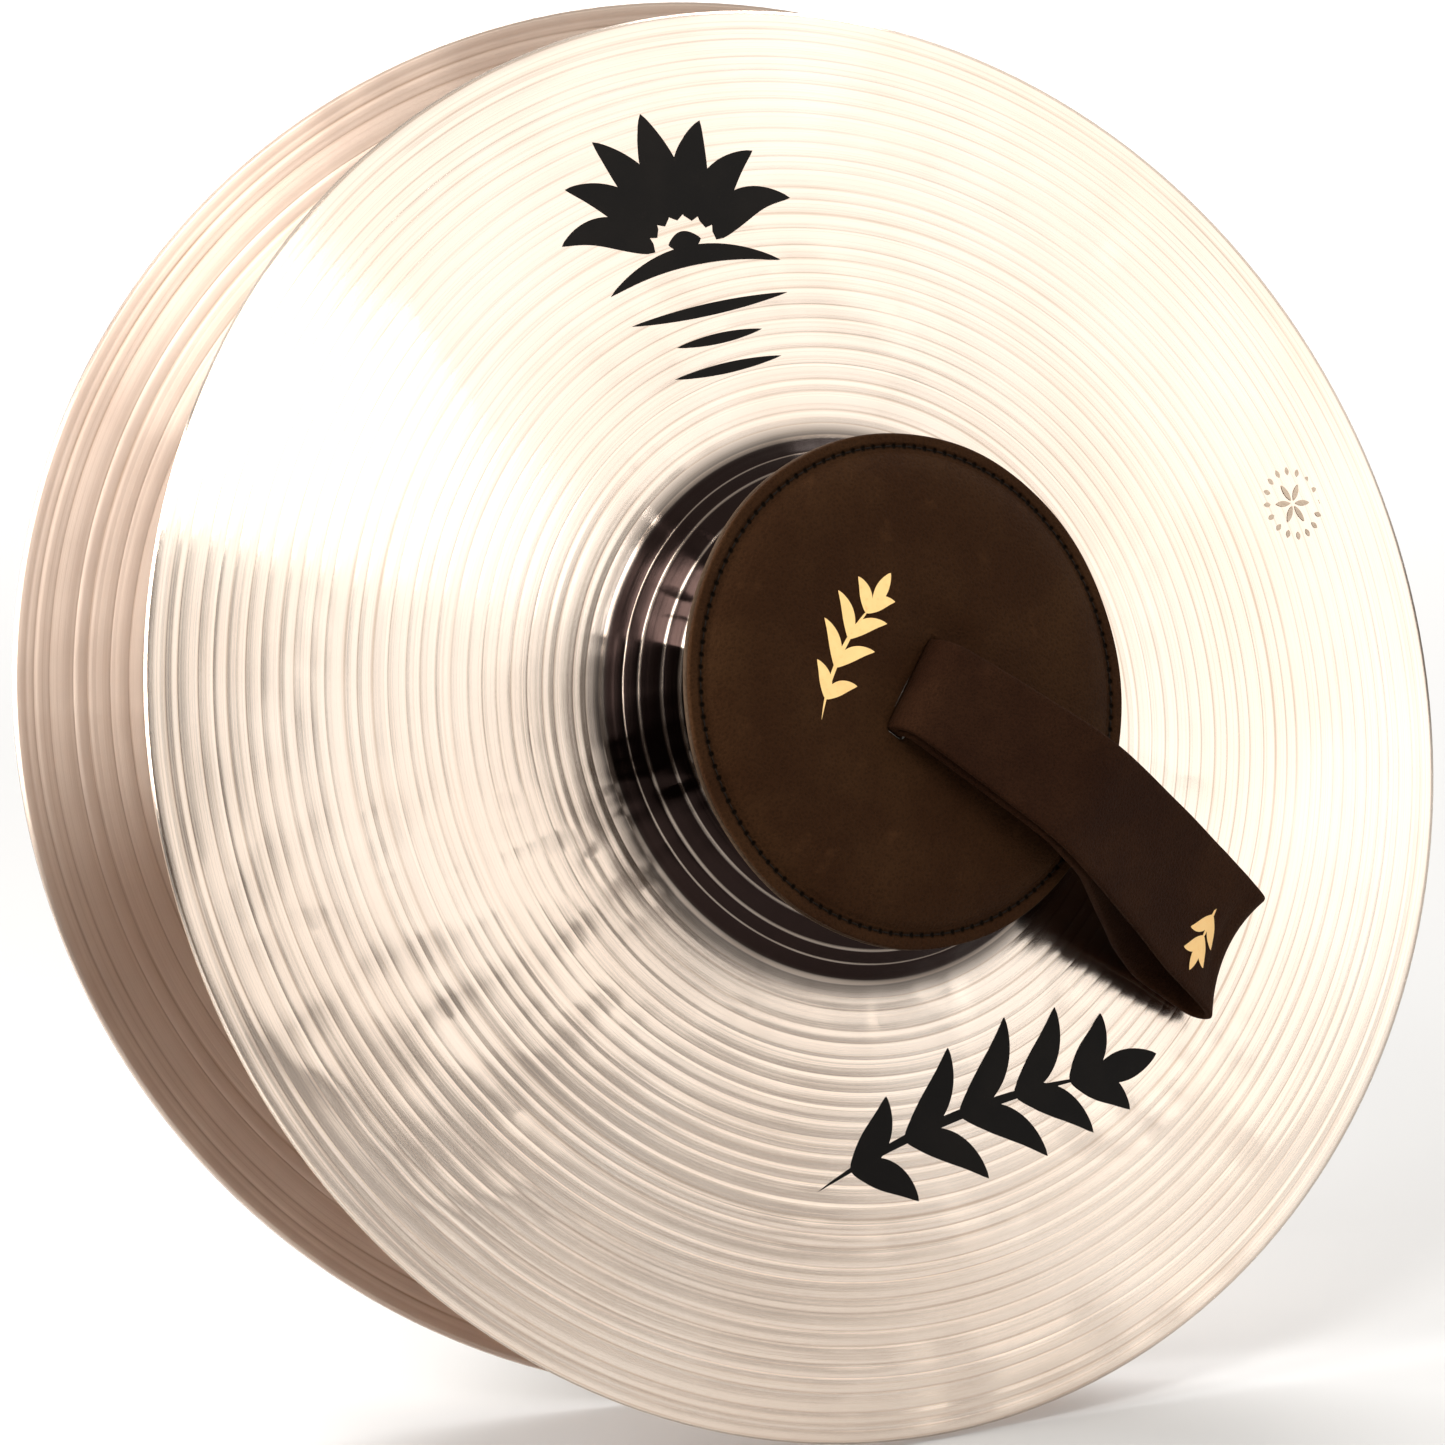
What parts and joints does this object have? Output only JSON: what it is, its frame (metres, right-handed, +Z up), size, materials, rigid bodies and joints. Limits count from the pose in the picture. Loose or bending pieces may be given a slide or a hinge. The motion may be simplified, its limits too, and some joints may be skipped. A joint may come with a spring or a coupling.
{
  "type": "pair of hand cymbals",
  "caption": "Pair of hand cymbals, each a thin domed bronze plate with a round stitched leather pad and a knotted leather strap loop, held close and slightly open.",
  "frame": {"origin": "root of the front strap loop, on the front cymbal's axis just above its pad, where the hand holds it", "axes": "+Z up, the front cymbal faces -Y and leans back 17.9 degrees, +X towards the side where the two rims nearly touch"},
  "size_m": [0.3556, 0.1848, 0.3394],
  "materials": {
    "bronze": "lathed, brilliant polish",
    "pad_leather": "fine matt grain",
    "pad_lining": "rough underside",
    "felt": "pressed felt",
    "thread": "waxed thread",
    "strap_leather": "matt suede grain"
  },
  "bodies": {
    "front_plate": {"front_cymbal": "bronze"},
    "front_handle": {"front_pad_cover": "pad_leather", "front_pad_core": "felt", "front_pad_lining": "pad_lining", "front_pad_stitching": "thread", "front_strap_neck": "strap_leather", "front_knot_tail_1": "strap_leather", "front_knot_tail_2": "strap_leather", "front_knot_tail_3": "strap_leather", "front_knot_tail_4": "strap_leather"},
    "front_loop": {"front_strap_loop": "strap_leather"},
    "rear_plate": {"rear_cymbal": "bronze"},
    "rear_handle": {"rear_pad_cover": "pad_leather", "rear_pad_core": "felt", "rear_pad_lining": "pad_lining", "rear_pad_stitching": "thread", "rear_strap_neck": "strap_leather", "rear_knot_tail_1": "strap_leather", "rear_knot_tail_2": "strap_leather", "rear_knot_tail_3": "strap_leather", "rear_knot_tail_4": "strap_leather"},
    "rear_loop": {"rear_strap_loop": "strap_leather"}
  },
  "joints": [
    {"name": "clash", "type": "hinge", "parent": "front_plate", "child": "rear_plate", "pos_m": [0.1807, 0.08926, -0.01611], "axis": [0, 0, 1], "range_deg": [-30, 15]},
    {"name": "front_turn", "type": "hinge", "parent": "front_plate", "child": "front_handle", "pos_m": [0, 0.04986, -0.01611], "axis": [0, -0.9516, 0.3074], "continuous": true},
    {"name": "rear_turn", "type": "hinge", "parent": "rear_plate", "child": "rear_handle", "pos_m": [-0.00389, 0.09853, -0.01629], "axis": [0.2463, 0.9192, -0.3074], "continuous": true},
    {"name": "front_swing", "type": "hinge", "parent": "front_handle", "child": "front_loop", "pos_m": [0, 0, 0], "axis": [-0.6018, -0.2455, -0.76], "range_deg": [0, 115]},
    {"name": "rear_swing", "type": "hinge", "parent": "rear_handle", "child": "rear_loop", "pos_m": [0.00901, 0.14669, -0.0324], "axis": [0.9659, -0.2588, 0], "range_deg": [-29, 86]}
  ]
}
